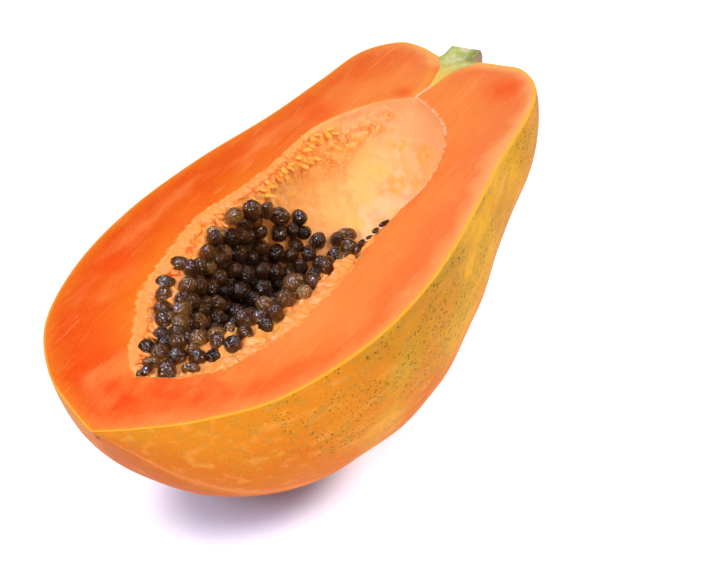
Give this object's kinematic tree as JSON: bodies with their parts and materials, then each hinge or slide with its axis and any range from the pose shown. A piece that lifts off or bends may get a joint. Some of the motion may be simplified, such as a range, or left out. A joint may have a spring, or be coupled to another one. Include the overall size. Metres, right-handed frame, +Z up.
{
  "type": "papaya half",
  "caption": "Lengthwise half of a ripe papaya lying on its back, with its seed cavity open to the top and the stalk still on.",
  "frame": {"origin": "middle of the box's bottom face, which is the flat spot that the half lies on", "axes": "+X from the blossom tip to the stalk, +Y to the left of that, +Z up out of the cut face"},
  "size_m": [0.2416, 0.139, 0.0851],
  "materials": {
    "flesh_and_rind": "moist orange flesh inside a thin waxy yellow-orange rind",
    "seeds": "wet dark brown seeds in a clear gel coat",
    "stem": "freshly sliced yellow-green stalk"
  },
  "bodies": {
    "root": {"papaya_half": "flesh_and_rind", "seeds": "seeds", "stem": "stem"}
  },
  "joints": []
}
